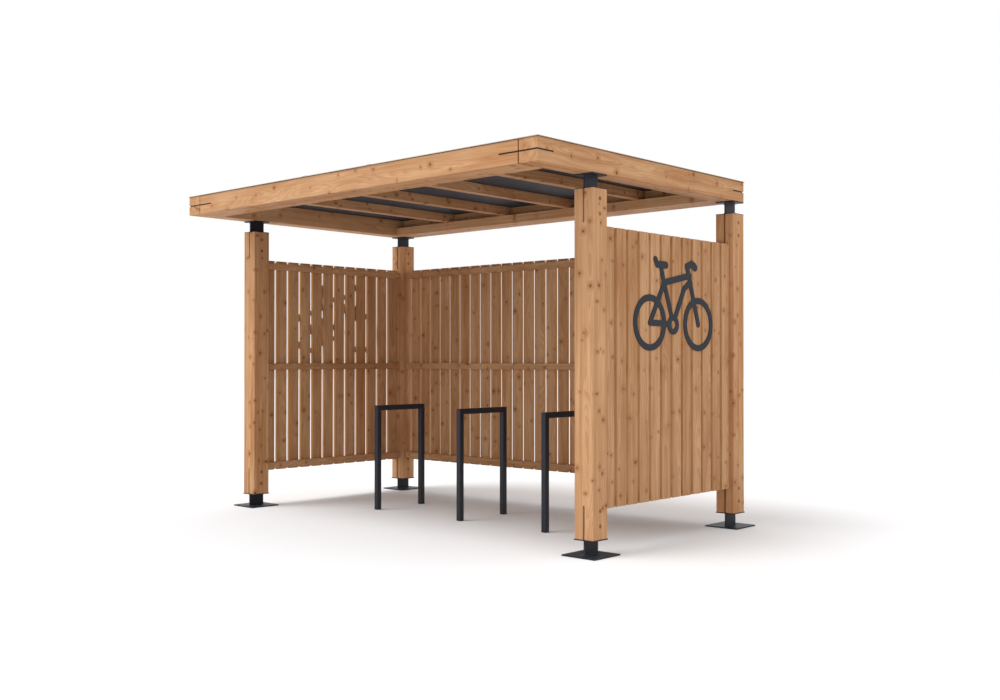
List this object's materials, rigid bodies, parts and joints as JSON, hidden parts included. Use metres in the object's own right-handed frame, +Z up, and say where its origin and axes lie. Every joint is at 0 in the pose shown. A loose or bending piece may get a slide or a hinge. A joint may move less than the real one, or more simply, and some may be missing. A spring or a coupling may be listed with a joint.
{
  "type": "bike shelter",
  "caption": "Open timber bike shelter with a flat roof on steel-footed posts, slatted walls on the ends and back, and hoop stands inside.",
  "frame": {"origin": "middle of the whole plan, on the ground under the base plates", "axes": "+X along the open front to the right seen from the front, +Y from the open front to the back wall, +Z up"},
  "size_m": [3.63, 2.29, 2.418],
  "materials": {
    "timber": "planed softwood with knots, oiled",
    "boards": "planed softwood boards with knots, oiled",
    "steel": "anthracite powder coat, satin",
    "roof_sheet": "dark grey compact laminate sheet, matt"
  },
  "bodies": {
    "root": {"post_front_left": "timber", "post_front_right": "timber", "post_back_left": "timber", "post_back_right": "timber", "foot_front_left": "steel", "foot_front_right": "steel", "foot_back_left": "steel", "foot_back_right": "steel", "head_front_left": "steel", "head_front_right": "steel", "head_back_left": "steel", "head_back_right": "steel", "beam_left": "timber", "beam_right": "timber", "beam_front": "timber", "beam_back": "timber", "ledger_front": "timber", "ledger_back": "timber", "corner_plate_front_left": "steel", "corner_plate_front_right": "steel", "corner_plate_back_left": "steel", "corner_plate_back_right": "steel", "rafter_1": "timber", "rafter_2": "timber", "rafter_3": "timber", "rafter_4": "timber", "roof_sheet": "roof_sheet", "left_wall_boards": "boards", "right_wall_boards": "boards", "back_wall_boards": "boards", "left_rail_bottom": "timber", "left_rail_middle": "timber", "left_rail_top": "timber", "right_rail_bottom": "timber", "right_rail_middle": "timber", "right_rail_top": "timber", "back_rail_bottom": "timber", "back_rail_middle": "timber", "back_rail_top": "timber", "stand_1": "steel", "stand_2": "steel", "stand_3": "steel"}
  },
  "joints": []
}
